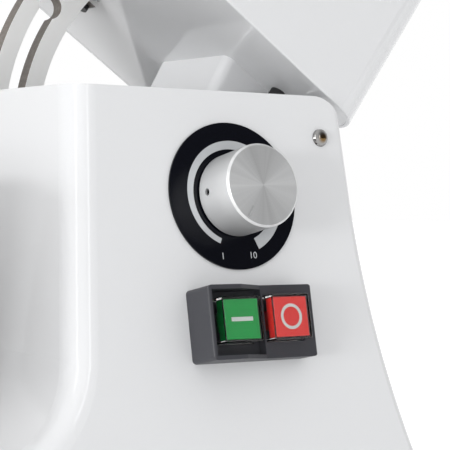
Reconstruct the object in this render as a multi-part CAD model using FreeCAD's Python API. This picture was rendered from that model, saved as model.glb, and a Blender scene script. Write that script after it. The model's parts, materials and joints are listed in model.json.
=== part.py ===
import FreeCAD, Part
import math
import os

Vector = FreeCAD.Vector

# A tilting-head spiral dough mixer with a fixed column, a lifting head and a turning bowl.
# Millimetres and degrees. X points to the control side, Y to the rear, Z up.
# All shapes are drawn with Y measured from the hinge and moved to their place at the end.

# Body
column_top = 275.0          # height of the column's top edge
top_half_width = 82.0       # half the column's width at the top edge
side_lean = 12.0            # the side panels spread outwards going down
front_reach = 127.6         # hinge to the column's front face at the top edge
front_lean = 5.2
rear_reach = 13.6           # hinge to the column's rear face at the top edge
rear_lean = 2.0
rear_bend_height = 135.0    # where the two straight rear lines would cross
rear_foot_lean = 27.0
rear_bend_radius = 420.0
plinth_rear = 70.6
deck_height = 120.0
deck_fillet = 44.0
front_round = 12.0
rear_round = 4.0
top_rear_round = 15.0
wall = 2.0                  # sheet of the body and the head
notch_gap = 2.0             # round the neck in the rear wall
plate_gap = 0.1             # between a cover plate and the rim around it
base_plate_thickness = 3.0

# Feet
foot_height = 14.0          # the body's lower rim stands this high
foot_radius = 14.0
foot_base_radius = 12.0
foot_side = 95.0            # feet from the middle plane
foot_ahead = 60.0           # front feet ahead of the bowl's axis
foot_rear = 25.0            # rear feet behind the hinge
foot_recess = 6.0

# Hinge and lock
hinge_drop = 20.0           # down the side panel from its top edge
pin_radius = 4.0
pin_dome = 2.2
running_gap = 0.05          # shafts in their holes
side_gap = 0.3              # between faces that pass each other
bush_wall = 1.5
bush_length = 12.0
spacer_radius = 7.0
hinge_plate_size = 40.0
hinge_plate_thickness = 4.0
lock_reach = 109.0          # hinge to the middle of the quadrant's slot
lock_collar_radius = 5.8
lock_collar_length = 10.0
lock_travel = 8.5
lock_knob_radius = 15.0
lock_knob_length = 24.0
lock_knob_round = 3.0
lock_bush_radius = 9.0

# Head
tilt = 35.0                 # the head stands raised by this angle
head_rise = 21.9            # hinge to the head's lower rim
head_half_width = 79.0
head_overhang = 21.0        # behind the hinge
head_height = 115.0
head_nose = 75.0            # ahead of the bowl's axis
head_nose_height = 64.0
head_slope_run = 150.0      # the falling part of the head's top, to the nose
head_back_round = 15.0
head_top_round = 22.0
head_nose_round = 40.0
head_slope_round = 160.0
head_rim_round = 0.8
underplate_recess = 0.1
underplate_thickness = 2.0
neck_left = 26.0
neck_right = 38.0
neck_front = 39.0
neck_back = 9.0
neck_front_draft = 3.0
neck_boss_radius = 11.0
neck_round = 5.0

# Quadrant
quadrant_face = -12.0       # X of the face nearest the controls
quadrant_thickness = 8.0
quadrant_inner = 95.5
quadrant_outer = 122.0
slot_gap = 0.2              # beside the lock's guide pin
keyhole_gap = 0.2           # round the lock's collar
quadrant_foot_width = 16.0
quadrant_foot_thickness = 3.0

# Speed control
dial_drop = 47.8            # down the side panel from its top edge
controls_ahead = 52.0       # dial and switch, ahead of the hinge
dial_radius = 33.0
dial_thickness = 1.0
knob_radius = 18.4
knob_face = 24.4            # above the panel
knob_gap = 1.0              # above the dial
knob_chamfer = 0.9
knob_cap = 6.0              # metal left above the shaft's bore
pointer_width = 1.1
pointer_length = 5.5
pointer_depth = 0.4
pointer_angle = 235.0       # at the dial's low end, from the rear and up
pot_radius = 12.0
pot_depth = 16.0
pot_thread_radius = 4.75
pot_shaft_radius = 3.0
pot_nut_radius = 8.0        # across its corners, halved
pot_nut_thickness = 2.5

# Start and stop switch
switch_drop = 105.2         # down the side panel from its top edge
switch_length = 58.4
switch_height = 31.8
switch_flange = 11.0        # height of the part round the stop button
switch_hood = 17.5          # height of the part round the start button
hood_slope_start = -12.5
hood_slope_end = 1.7
hood_wall = 1.8
hood_floor = 6.0            # inside the hood, round the start button
switch_round = 2.0
button_pitch = 23.9
button_back = 0.9           # the buttons sit behind the housing's middle
button_rise = 1.3           # and above it
button_size = 17.0
cap_wall = 1.1
cap_round = 0.9
cap_height = 9.0
start_face = 13.6
stop_face = 16.2
button_travel = 3.0
button_stem = 8.0
stem_length = 14.0
pocket_floor = 1.5
switch_box_length = 46.0
switch_box_height = 26.0
switch_box_depth = 30.0

# Bowl and its drive
bowl_gap = 55.0             # from the column's front face at its top edge
bowl_radius = 122.0
bowl_wall = 1.5
rim_drop = 38.0             # the bowl's rim below the column's top edge
bowl_rim_bead = 3.0
bowl_floor_round = 40.0
carrier_radius = 60.0
carrier_thickness = 8.0
carrier_gap = 3.0           # above the deck
carrier_chamfer = 1.0
spindle_radius = 9.0
bearing_radius = 20.0
bearing_flange = 34.0
bearing_flange_thickness = 5.0
gearbox_size = 84.0
gearbox_height = 60.0
gearbox_round = 7.0
bowl_motor_radius = 32.0
bowl_motor_length = 95.0
motor_chamfer = 3.0         # on both motors

# Spiral and its drive
spiral_wire = 7.0
spiral_radius = 36.0
spiral_top = -18.0          # its upper arm, from the hinge's height with the head down
spiral_pitch = 66.0
hook_gap = 14.0             # from the hook and the breaker bar to the bowl's floor
breaker_gap = 5.0           # between the hook and the breaker bar
hook_weld = 0.8             # how far the hook's elbow stands out from its wire
spiral_shaft_radius = 10.0
spiral_housing_radius = 30.0
spiral_housing_height = 64.0
ball_bearing_radius = 21.0
ball_bearing_width = 12.0
head_motor_reach = 92.0
head_motor_radius = 42.0
head_motor_height = 62.0
motor_shaft_radius = 5.0
motor_shaft_depth = 20.0    # inside the motor
motor_pulley_radius = 16.0
spiral_pulley_radius = 40.0
pulley_width = 12.0
pulley_lift = 8.0           # above the bearing housing
belt_thickness = 2.0
breaker_radius = 7.0
breaker_flange = 18.0
breaker_flange_thickness = 4.0
breaker_nut_radius = 12.5   # across its corners, halved
guard_inset = 1.0           # inside the bowl's outer radius
guard_wire = 2.5
guard_bar_wire = 2.0
guard_lift = 20.6           # above the bowl's rim with the head down
guard_bar_pitch = 22.0
guard_bars_each_side = 5
guard_stud_radius = 4.0
guard_stud_rear = 58.0      # behind the bowl's axis
guard_stud_front = 52.0     # ahead of the bowl's axis

# Small parts
screw_radius = 2.0
screw_head_radius = 3.5
screw_head_height = 2.5
screw_socket = 1.3
set_screw_radius = 1.6
screw_gap = 0.15            # round a screw in its hole
grommet_side = 45.5
grommet_reach = 9.0
grommet_radius = 4.0
grommet_wall = 1.0
grommet_drop = 5.0
sensor_side = 55.0
sensor_size = (14.0, 8.0, 22.0)
sensor_drop = 4.0           # below the column's top edge
magnet_radius = 5.0
magnet_thickness = 2.0
board_size = (110.0, 74.0, 1.6)
board_behind = -42.0        # its middle, from the hinge
board_lift = 10.0           # above the base plate
standoff_radius = 4.0
standoff_inset = 6.0
capacitor_radius = 11.0
capacitor_height = 30.0
sink_size = (46.0, 22.0, 30.0)
sink_fins = 6
sink_base = 5.0
sink_fin = 2.5
rear_cover_half_width = 46.0
rear_cover_low = 80.0
rear_cover_high = 205.0
rear_cover_thickness = 1.5
rear_cover_margin = 12.0
vent_length = 60.0
vent_width = 4.0
vent_pitch = 12.0
gland_side = -62.0
gland_height = 70.0
gland_radius = 10.0
gland_flange = 13.0
gland_flange_thickness = 4.0
gland_length = 12.0
gland_tip_radius = 7.0
gland_bore = 4.0
gland_nut_thickness = 4.0
fit_gap = 0.02              # between a piece and its seat
overrun = 1.0               # how far a cutting shape runs past what it cuts
same = 0.01                 # lengths closer than this count as equal

# Worked out from the sizes above
lean_sin = math.sin(math.radians(side_lean))
lean_cos = math.cos(math.radians(side_lean))
tilt_sin = math.sin(math.radians(tilt))
tilt_cos = math.cos(math.radians(tilt))
hinge_height = column_top - hinge_drop * lean_cos
base_bottom = foot_height
bowl_reach = front_reach + bowl_gap + bowl_radius
bowl_rim = column_top - rim_drop
foot_front = bowl_reach + foot_ahead
head_reach = bowl_reach + head_nose
underplate_low = head_rise + underplate_recess
underplate_top = underplate_low + underplate_thickness
carrier_low = deck_height + carrier_gap
bowl_low = carrier_low + carrier_thickness
bowl_floor = bowl_low + bowl_wall
spiral_reach = bowl_reach - breaker_radius - breaker_gap - spiral_radius - spiral_wire
spiral_depth = hinge_height + spiral_top - spiral_wire - hook_gap - bowl_floor
breaker_depth = hinge_height - breaker_radius - hook_gap - bowl_floor
guard_radius = bowl_radius - guard_inset
guard_height = bowl_rim + guard_lift - hinge_height
base_plate_top = base_bottom + base_plate_thickness
pulley_low = underplate_top + spiral_housing_height + pulley_lift
guard_stud_bar = 3 * guard_bar_pitch
slot_half = pin_radius + slot_gap
keyhole_radius = lock_collar_radius + keyhole_gap
bush_radius = pin_radius + running_gap + bush_wall
cap_size = button_size + 2 * cap_wall + 2 * side_gap
pocket_size = cap_size + 2 * side_gap


def half_width(height, inset=0.0):
    """Half the body's width at a height, less an inset measured square to the panel."""
    return top_half_width + (column_top - height) * lean_sin / lean_cos - inset / lean_cos


def box(low, high):
    size = Vector(*high) - Vector(*low)
    return Part.makeBox(size.x, size.y, size.z, Vector(*low))


def rod(radius, start, end):
    start = Vector(*start)
    axis = Vector(*end) - start
    return Part.makeCylinder(radius, axis.Length, start, axis)


def tube(outer, inner, start, end):
    return rod(outer, start, end).cut(rod(inner, start, end))


def fuse(shapes):
    """One clean solid from shapes that touch or overlap."""
    first = shapes[0]
    return first.fuse(list(shapes[1:])).removeSplitter()


def group(shapes):
    return Part.makeCompound(list(shapes))


def inset_corners(corners, depth):
    """A counter-clockwise outline moved inwards; rounded corners keep their centres."""
    count = len(corners)
    moved = []
    for index, (point, radius) in enumerate(corners):
        before = corners[index - 1][0]
        after = corners[(index + 1) % count][0]
        arrive = (Vector(*point) - Vector(*before)).normalize()
        leave = (Vector(*after) - Vector(*point)).normalize()
        normals = Vector(-arrive.y, arrive.x) + Vector(-leave.y, leave.x)
        scale = depth / (1 + arrive.dot(leave))
        turns_left = arrive.cross(leave).z > 0
        new_radius = max(radius - depth, 0) if turns_left else radius + depth
        place = (point[0] + normals.x * scale, point[1] + normals.y * scale)
        moved.append((place, new_radius if radius > 0 else 0))
    return moved


def outline_face(corners, plane):
    """A flat face from corner points and corner radii, laid in a plane by a function."""
    edges = []
    count = len(corners)
    joints = []
    for index, (point, radius) in enumerate(corners):
        here = Vector(*point)
        to_before = (Vector(*corners[index - 1][0]) - here).normalize()
        to_after = (Vector(*corners[(index + 1) % count][0]) - here).normalize()
        half = to_before.getAngle(to_after) / 2
        reach = radius / math.tan(half)
        middle = here + (to_before + to_after).normalize() * (radius / math.sin(half) - radius)
        joints.append((here + to_before * reach, middle, here + to_after * reach, radius))
    for index, (start, middle, end, radius) in enumerate(joints):
        last_end = joints[index - 1][2]
        if (start - last_end).Length > same / 100:
            edges.append(Part.makeLine(plane(last_end), plane(start)))
        if radius > 0:
            edges.append(Part.Arc(plane(start), plane(middle), plane(end)).toShape())
    return Part.Face(Part.Wire(edges))


def side_prism(corners, half):
    """A side outline in Y and Z, as wide as twice half."""
    face = outline_face(corners, lambda p: Vector(-half, p.x, p.y))
    return face.extrude(Vector(2 * half, 0, 0))


def plan_prism(corners, low, high):
    face = outline_face(corners, lambda p: Vector(p.x, p.y, low))
    return face.extrude(Vector(0, 0, high - low))


def front_prism(corners, front, rear):
    face = outline_face(corners, lambda p: Vector(p.x, front, p.y))
    return face.extrude(Vector(0, rear - front, 0))


def rectangle(low, high, radius=0.0):
    """Counter-clockwise corners of a rectangle, all rounded alike."""
    points = ((low[0], low[1]), (high[0], low[1]), (high[0], high[1]), (low[0], high[1]))
    return [(point, radius) for point in points]


def turned(radius_height, axis=(0, 0, 0)):
    """A solid of revolution about a vertical axis from (radius, height) corners and radii."""
    face = outline_face(radius_height, lambda p: Vector(axis[0] + p.x, axis[1], axis[2] + p.y))
    return face.revolve(Vector(*axis), Vector(0, 0, 1), 360)


def screw(seat, into, length):
    """A socket-head screw: its head rests on the seat and its shank runs into the work."""
    into = Vector(*into).normalize()
    seat = Vector(*seat)
    head = Part.makeCylinder(screw_head_radius, screw_head_height, seat - into * screw_head_height, into)
    shank = Part.makeCylinder(screw_radius, length, seat, into)
    top = seat - into * screw_head_height
    socket = Part.makeCylinder(screw_socket, screw_head_height / 2, top, into)
    return fuse([head, shank]).cut(socket)


def screw_hole(seat, into, length):
    into = Vector(*into).normalize()
    return Part.makeCylinder(screw_radius + screw_gap, length, Vector(*seat), into)


def on_panel(shape, ahead, drop):
    """Stand a shape drawn flat, with x to the rear and y up, on the right side panel."""
    origin = Vector(half_width(column_top) + drop * lean_sin, -ahead, column_top - drop * lean_cos)
    matrix = FreeCAD.Matrix(
        0, -lean_sin, lean_cos, origin.x,
        1, 0, 0, origin.y,
        0, lean_cos, lean_sin, origin.z,
        0, 0, 0, 1)
    return shape.transformed(matrix)


def raised(shape):
    """Turn a piece of the head, drawn about the hinge with the head down, to its raised place."""
    moved = shape.copy()
    moved.rotate(Vector(0, 0, 0), Vector(1, 0, 0), -tilt)
    moved.translate(Vector(0, 0, hinge_height))
    return moved


# Body shell and base

def body_corners(bottom):
    """Side outline of the body, running on past the top edge and the nose."""
    top = column_top + deck_fillet
    nose = -(bowl_reach + 2 * half_width(base_bottom))
    front_slope = math.tan(math.radians(front_lean))
    rear_slope = math.tan(math.radians(rear_lean))
    foot_slope = math.tan(math.radians(rear_foot_lean))
    bend = rear_reach + (column_top - rear_bend_height) * rear_slope
    plinth_top = rear_bend_height - (plinth_rear - bend) / foot_slope
    return [
        ((nose, bottom), 0),
        ((plinth_rear, bottom), 0),
        ((plinth_rear, plinth_top), 0),
        ((bend, rear_bend_height), rear_bend_radius),
        ((rear_reach - (top - column_top) * rear_slope, top), 0),
        ((-front_reach + (top - column_top) * front_slope, top), 0),
        ((-front_reach - (column_top - deck_height) * front_slope, deck_height), deck_fillet),
        ((nose, deck_height), 0),
    ]


def body_block(inset, bottom):
    """The body as a solid block, drawn in by an inset, with its long edges rounded."""
    corners = inset_corners(body_corners(bottom), inset)
    top = corners[4][0][1]
    low = corners[0][0][1]
    cone = Part.makeCone(half_width(low, inset), half_width(top, inset), top - low,
                         Vector(0, -bowl_reach, low), Vector(0, 0, 1))
    wedge = front_prism(
        [((-half_width(low, inset), low), 0), ((half_width(low, inset), low), 0),
         ((half_width(top, inset), top), 0), ((-half_width(top, inset), top), 0)],
        -bowl_reach, plinth_rear + wall)
    block = side_prism(corners, 2 * half_width(low)).common(cone.fuse(wedge))
    front_edges = []
    rear_edges = []
    for edge in block.Edges:
        middle = edge.valueAt((edge.FirstParameter + edge.LastParameter) / 2)
        reach = max(0, -bowl_reach - middle.y)
        spread = math.hypot(middle.x, reach)
        ends_flat = middle.z > top - overrun or middle.z < low + overrun
        on_side = abs(spread - half_width(middle.z, inset)) < same
        runs_down_nose = abs(middle.y + bowl_reach) < same and edge.BoundBox.ZLength > overrun
        if on_side and not ends_flat and not runs_down_nose:
            (front_edges if middle.y < -front_reach / 2 else rear_edges).append(edge)
    block = block.makeFillet(front_round - inset, front_edges)
    return block.makeFillet(rear_round - inset, rear_edges)


def rear_bend():
    """Centre of the rear wall's hollow curve, in Y and Z."""
    lean = math.radians(rear_lean)
    turn = math.radians(rear_foot_lean - rear_lean)
    reach = rear_bend_radius * math.tan(turn / 2)
    corner = rear_reach + (column_top - rear_bend_height) * math.tan(lean)
    start_y = corner - reach * math.sin(lean)
    start_z = rear_bend_height + reach * math.cos(lean)
    return start_y + rear_bend_radius * math.cos(lean), start_z + rear_bend_radius * math.sin(lean)


def rear_place(x, height, out):
    """A point on the rear wall's hollow curve and the direction square to the wall there."""
    centre_y, centre_z = rear_bend()
    rise = (centre_z - height) / rear_bend_radius
    normal = Vector(0, math.sqrt(1 - rise * rise), rise)
    point = Vector(x, centre_y, centre_z) - normal * (rear_bend_radius - out)
    return point, normal


def above_top_edge():
    """All that lies above the column's top edge and outside its rounded rear corner."""
    low = column_top - 2 * top_rear_round
    rear_slope = math.tan(math.radians(rear_lean))
    far = 2 * plinth_rear
    nose = -2 * bowl_reach
    corners = [
        ((nose, column_top), 0),
        ((rear_reach, column_top), top_rear_round),
        ((rear_reach + (column_top - low) * rear_slope, low), 0),
        ((far, low), 0),
        ((far, 2 * column_top), 0),
        ((nose, 2 * column_top), 0),
    ]
    return side_prism(corners, 2 * top_half_width)


def rear_clearance(radius):
    """How far a flat round face must stand off the hollow rear wall to touch it only at its rim."""
    return radius ** 2 / (2 * rear_bend_radius) + fit_gap


def rear_cover_screw_places():
    side = rear_cover_half_width - rear_cover_margin / 2
    heights = (rear_cover_low + rear_cover_margin / 2, rear_cover_high - rear_cover_margin / 2)
    out = rear_cover_thickness + rear_clearance(screw_head_radius)
    return [rear_place(x, height, out) for x in (-side, side) for height in heights]


def body_shell():
    inner_bottom = base_bottom - 2 * wall
    shell = body_block(0, base_bottom).cut(body_block(wall, inner_bottom))
    notch = box((-neck_left - notch_gap, 0, hinge_height - neck_boss_radius - notch_gap),
                (neck_right + notch_gap, plinth_rear, 2 * column_top))
    margin = rear_cover_margin
    vent = box((-rear_cover_half_width + margin, 0, rear_cover_low + margin),
               (rear_cover_half_width - margin, plinth_rear, rear_cover_high - margin))
    span = half_width(base_bottom)
    pin_hole = rod(pin_radius + running_gap, (-span, 0, hinge_height), (span, 0, hinge_height))
    lock_hole = rod(lock_bush_radius + screw_gap, (-span, -lock_reach, hinge_height),
                    (-top_half_width / 2, -lock_reach, hinge_height))
    pot_hole = rod(pot_thread_radius + screw_gap, (0, 0, -2 * wall), (0, 0, wall))
    opening = (switch_box_length / 2 + screw_gap, switch_box_height / 2 + screw_gap)
    switch_hole = box((-opening[0], -opening[1], -2 * wall), (opening[0], opening[1], wall))
    deck_hole = rod(bearing_radius + screw_gap, (0, -bowl_reach, deck_height - 2 * wall),
                    (0, -bowl_reach, deck_height + wall))
    cuts = [above_top_edge(), notch, vent, pin_hole, lock_hole, deck_hole,
            on_panel(pot_hole, controls_ahead, dial_drop),
            on_panel(switch_hole, controls_ahead, switch_drop)]
    for seat, normal in rear_cover_screw_places():
        cuts.append(screw_hole(seat, -normal, rear_cover_thickness + 2 * wall))
    gland, normal = rear_place(gland_side, gland_height, wall)
    cuts.append(Part.makeCylinder(gland_radius + screw_gap, 4 * wall, gland, -normal))
    return shell.cut(cuts)


def foot_places():
    return [(x, y) for x in (-foot_side, foot_side) for y in (-foot_front, foot_rear)]


def base_plate():
    slab = box((-2 * foot_side, -2 * bowl_reach, base_bottom), (2 * foot_side, plinth_rear, base_plate_top))
    plate = body_block(wall + plate_gap, base_bottom - 2 * wall).common(slab)
    return plate.cut([screw_hole((x, y, 0), (0, 0, 1), column_top) for x, y in foot_places()])


def rubber_feet():
    feet = []
    for x, y in foot_places():
        foot = Part.makeCone(foot_base_radius, foot_radius, foot_height, Vector(x, y, 0))
        recess = rod(screw_head_radius + side_gap, (x, y, 0), (x, y, foot_recess))
        feet.append(foot.cut([recess, screw_hole((x, y, 0), (0, 0, 1), foot_height)]))
    return group(feet)


def foot_screws():
    length = foot_height - foot_recess + base_plate_thickness + screw_radius
    return group([screw((x, y, foot_recess), (0, 0, 1), length) for x, y in foot_places()])


def rear_cover():
    corners = body_corners(base_bottom)
    skin = side_prism(inset_corners(corners, -rear_cover_thickness), rear_cover_half_width)
    skin = skin.cut(side_prism(corners, 2 * rear_cover_half_width))
    zone = box((-rear_cover_half_width, 0, rear_cover_low),
               (rear_cover_half_width, plinth_rear, rear_cover_high))
    cover = skin.common(zone)
    count = int((rear_cover_high - rear_cover_low - 2 * rear_cover_margin) / vent_pitch)
    middle = (rear_cover_low + rear_cover_high) / 2
    cuts = []
    for index in range(count):
        low = middle + (index - (count - 1) / 2) * vent_pitch - vent_width / 2
        cuts.append(box((-vent_length / 2, 0, low), (vent_length / 2, plinth_rear, low + vent_width)))
    for seat, normal in rear_cover_screw_places():
        cuts.append(screw_hole(seat + normal, -normal, rear_cover_thickness + 2 * wall))
    return cover.cut(cuts)


def rear_cover_screws():
    length = rear_cover_thickness + wall + screw_radius
    return group([screw(seat, -normal, length) for seat, normal in rear_cover_screw_places()])


def cord_gland():
    seat, normal = rear_place(gland_side, gland_height, rear_clearance(gland_flange))
    inside = wall + gland_nut_thickness + 2 * side_gap
    flange = Part.makeCylinder(gland_flange, gland_flange_thickness, seat, normal)
    body = Part.makeCylinder(gland_radius, inside, seat, -normal)
    dome = Part.makeCone(gland_radius, gland_tip_radius, gland_length,
                         seat + normal * gland_flange_thickness, normal)
    bore = Part.makeCylinder(gland_bore, gland_length + gland_flange_thickness + 2 * inside,
                             seat - normal * 2 * inside, normal)
    return fuse([flange, body, dome]).cut(bore)


def gland_nut():
    seat, normal = rear_place(gland_side, gland_height, 0)
    start = seat - normal * (wall + side_gap)
    nut = Part.makeCylinder(gland_flange, gland_nut_thickness, start, -normal)
    return nut.cut(Part.makeCylinder(gland_radius + fit_gap, gland_nut_thickness, start, -normal))


# Hinge and lock, fixed side

def both_sides(shape):
    return group([shape, shape.mirror(Vector(0, 0, 0), Vector(1, 0, 0))])


def hinge_pin():
    end = half_width(hinge_height) + pin_radius * lean_sin
    ball = (pin_radius ** 2 + pin_dome ** 2) / (2 * pin_dome)
    length = end + pin_dome
    pin = rod(pin_radius, (-length, 0, hinge_height), (length, 0, hinge_height))
    for side in (-1, 1):
        dome = Part.makeSphere(ball, Vector(side * (length - ball), 0, hinge_height))
        tip = box((end, -pin_radius * 2, hinge_height - pin_radius * 2),
                  (length + pin_dome, pin_radius * 2, hinge_height + pin_radius * 2))
        if side < 0:
            tip = tip.mirror(Vector(0, 0, 0), Vector(1, 0, 0))
        pin = pin.cut(tip.cut(dome))
    return pin


def hinge_plates():
    high = hinge_drop - top_rear_round / 2
    plate = box((-hinge_plate_size / 2, -hinge_plate_size / 2, -wall - hinge_plate_thickness),
                (rear_reach - rear_round - side_gap, high, -wall))
    plate = on_panel(plate, 0, hinge_drop)
    hole = rod(pin_radius + running_gap, (0, 0, hinge_height), (2 * top_half_width, 0, hinge_height))
    return both_sides(plate.cut(hole))


def hinge_spacers():
    inner = half_width(hinge_height) - (wall + hinge_plate_thickness) / lean_cos
    end = inner - spacer_radius * lean_sin / lean_cos - side_gap
    starts = (-neck_left - side_gap, neck_right + side_gap)
    ends = (-end, end)
    return group([tube(spacer_radius, pin_radius + running_gap, (a, 0, hinge_height), (b, 0, hinge_height))
                  for a, b in zip(starts, ends)])


def lock_bush():
    disc = rod(lock_bush_radius + 2 * bush_wall, (0, 0, 0), (0, 0, bush_wall * 2))
    disc = on_panel(disc, lock_reach, hinge_drop).mirror(Vector(0, 0, 0), Vector(1, 0, 0))
    face = half_width(hinge_height)
    sleeve = rod(lock_bush_radius, (-face, -lock_reach, hinge_height),
                 (-face + bush_length, -lock_reach, hinge_height))
    bore = rod(pin_radius + running_gap, (-2 * face, -lock_reach, hinge_height),
               (0, -lock_reach, hinge_height))
    return fuse([disc, sleeve]).cut(bore)


def lock_knob_face():
    """X of the lock knob's inner face when it is pulled out."""
    bush = half_width(hinge_height - lock_knob_radius) + 2 * bush_wall / lean_cos
    return -(bush + lock_travel + 2 * side_gap)


def lock_plunger():
    face = lock_knob_face()
    plate_back = quadrant_face - quadrant_thickness
    collar_end = plate_back - 2 * side_gap
    pin = rod(pin_radius, (face - lock_knob_length / 2, -lock_reach, hinge_height),
              (quadrant_face + pin_radius, -lock_reach, hinge_height))
    collar = rod(lock_collar_radius, (collar_end - lock_collar_length, -lock_reach, hinge_height),
                 (collar_end, -lock_reach, hinge_height))
    return fuse([pin, collar])


def lock_knob():
    face = lock_knob_face()
    knob = rod(lock_knob_radius, (face - lock_knob_length, -lock_reach, hinge_height),
               (face, -lock_reach, hinge_height))
    rims = [edge for edge in knob.Edges if edge.Closed and edge.Length > lock_knob_radius]
    knob = knob.makeFillet(lock_knob_round, rims)
    return knob.cut(rod(pin_radius + fit_gap, (face - lock_knob_length / 2, -lock_reach, hinge_height),
                        (face, -lock_reach, hinge_height)))


# Speed control, drawn flat on the panel

def dial_plate():
    disc = tube(dial_radius, pot_thread_radius + screw_gap, (0, 0, 0), (0, 0, dial_thickness))
    return on_panel(disc, controls_ahead, dial_drop)


def pot_thread_end():
    return dial_thickness + pot_nut_thickness + knob_gap


def speed_pot():
    case = rod(pot_radius, (0, 0, -wall - pot_depth), (0, 0, -wall))
    thread = rod(pot_thread_radius, (0, 0, -wall), (0, 0, pot_thread_end()))
    bore = rod(pot_shaft_radius + running_gap, (0, 0, -wall - pot_depth / 2), (0, 0, pot_thread_end()))
    return on_panel(fuse([case, thread]).cut(bore), controls_ahead, dial_drop)


def pot_nut():
    hexagon = [((pot_nut_radius * math.cos(math.radians(60 * step)),
                 pot_nut_radius * math.sin(math.radians(60 * step))), 0) for step in range(6)]
    nut = plan_prism(hexagon, dial_thickness, dial_thickness + pot_nut_thickness)
    nut = nut.cut(rod(pot_thread_radius + fit_gap, (0, 0, 0), (0, 0, 2 * pot_thread_end())))
    return on_panel(nut, controls_ahead, dial_drop)


def knob_bore_end():
    return knob_face - knob_cap


def set_screw_height():
    """Just above the recess for the nut."""
    return pot_thread_end() + 2 * knob_gap + set_screw_radius


def pot_shaft():
    shaft = rod(pot_shaft_radius, (0, 0, side_gap - wall - pot_depth / 2), (0, 0, knob_bore_end() - side_gap))
    return on_panel(shaft, controls_ahead, dial_drop)


def speed_knob():
    low = dial_thickness + knob_gap
    knob = rod(knob_radius, (0, 0, low), (0, 0, knob_face))
    rim = [edge for edge in knob.Edges if edge.Closed and edge.BoundBox.ZMin > low]
    knob = knob.makeChamfer(knob_chamfer, rim)
    recess = rod(pot_nut_radius + 2 * knob_gap, (0, 0, 0), (0, 0, pot_thread_end() + knob_gap))
    bore = rod(pot_shaft_radius + fit_gap, (0, 0, 0), (0, 0, knob_bore_end()))
    height = set_screw_height()
    screw_bore = rod(set_screw_radius + fit_gap, (-2 * knob_radius, 0, height), (0, 0, height))
    rim_radius = knob_radius - 2 * knob_chamfer
    pointer = box((rim_radius - pointer_length, -pointer_width / 2, knob_face - pointer_depth),
                  (rim_radius, pointer_width / 2, knob_face + pointer_depth))
    pointer.rotate(Vector(0, 0, 0), Vector(0, 0, 1), pointer_angle)
    return on_panel(knob.cut([recess, bore, screw_bore, pointer]), controls_ahead, dial_drop)


def knob_set_screw():
    height = set_screw_height()
    start = pot_shaft_radius + fit_gap
    end = knob_radius - knob_chamfer
    body = rod(set_screw_radius, (-end, 0, height), (-start - fit_gap, 0, height))
    socket = rod(set_screw_radius / 2, (-end, 0, height), (-(start + end) / 2, 0, height))
    return on_panel(body.cut(socket), controls_ahead, dial_drop)


# Start and stop switch, drawn flat on the panel

def square_block(size, x, low, high):
    half = size / 2
    return box((x - half, button_rise - half, low), (x + half, button_rise + half, high))


def button_x(side):
    """Start is side -1, towards the front; stop is side 1."""
    return button_back + side * button_pitch / 2


def switch_housing():
    end = switch_length / 2
    half = switch_height / 2
    profile = [((-end, 0), 0), ((end, 0), 0), ((end, switch_flange), switch_round / 2),
               ((hood_slope_end, switch_flange), 0), ((hood_slope_start, switch_hood), 0),
               ((-end, switch_hood), switch_round / 2)]
    housing = front_prism(profile, -half, half)
    housing = housing.common(plan_prism(rectangle((-end, -half), (end, half), switch_round), 0, switch_hood))
    cuts = [box((-end + hood_wall, -half + hood_wall, hood_floor),
                (hood_slope_end, half - hood_wall, 2 * switch_hood))]
    for side in (-1, 1):
        cuts.append(square_block(pocket_size, button_x(side), pocket_floor, 2 * switch_hood))
        cuts.append(square_block(button_stem + 2 * side_gap, button_x(side), -overrun, switch_hood))
    return on_panel(housing.cut(cuts), controls_ahead, switch_drop)


def stem_low(face):
    return face - cap_height / 2 - stem_length


def switch_body():
    half = (switch_box_length / 2, switch_box_height / 2)
    case = box((-half[0], -half[1], -switch_box_depth), (half[0], half[1], 0))
    cuts = []
    for side, face in ((-1, start_face), (1, stop_face)):
        floor = stem_low(face) - button_travel - 2 * side_gap
        cuts.append(square_block(button_stem + 2 * side_gap, button_x(side), floor, overrun))
    return on_panel(case.cut(cuts), controls_ahead, switch_drop)


def push_button(side, face):
    block = square_block(button_size, button_x(side), face - cap_height / 2, face)
    stem = square_block(button_stem, button_x(side), stem_low(face), face - cap_height / 2)
    return on_panel(fuse([block, stem]), controls_ahead, switch_drop)


def push_cap(side, face):
    top = face + side_gap + cap_wall
    outer = square_block(cap_size, button_x(side), top - cap_height, top)
    inner = square_block(cap_size - 2 * cap_wall, button_x(side), top - 2 * cap_height, top - cap_wall)
    corners = [edge for edge in outer.Edges if edge.BoundBox.ZMin > top - cap_height + overrun
               or edge.BoundBox.ZLength > overrun]
    return on_panel(outer.makeFillet(cap_round, corners).cut(inner), controls_ahead, switch_drop)


# Bowl and its drive

def bowl():
    outer = turned([((0, bowl_low), 0), ((bowl_radius, bowl_low), bowl_floor_round),
                    ((bowl_radius, bowl_rim - bowl_rim_bead), 0), ((0, bowl_rim - bowl_rim_bead), 0)],
                   (0, -bowl_reach, 0))
    inside = bowl_radius - bowl_wall
    inner = turned([((0, bowl_floor), 0), ((inside, bowl_floor), bowl_floor_round - bowl_wall),
                    ((inside, bowl_rim + overrun), 0), ((0, bowl_rim + overrun), 0)],
                   (0, -bowl_reach, 0))
    bead = Part.makeTorus(bowl_radius - bowl_wall / 2, bowl_rim_bead,
                          Vector(0, -bowl_reach, bowl_rim - bowl_rim_bead), Vector(0, 0, 1))
    return outer.cut(inner).fuse(bead).removeSplitter()


def bowl_carrier():
    centre = (0, -bowl_reach)
    disc = tube(carrier_radius, spindle_radius + fit_gap, (*centre, carrier_low), (*centre, bowl_low))
    rim = [edge for edge in disc.Edges if edge.Closed and edge.BoundBox.XLength > carrier_radius]
    return disc.makeChamfer(carrier_chamfer, rim)


def gearbox_top():
    return base_plate_top + gearbox_height


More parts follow.
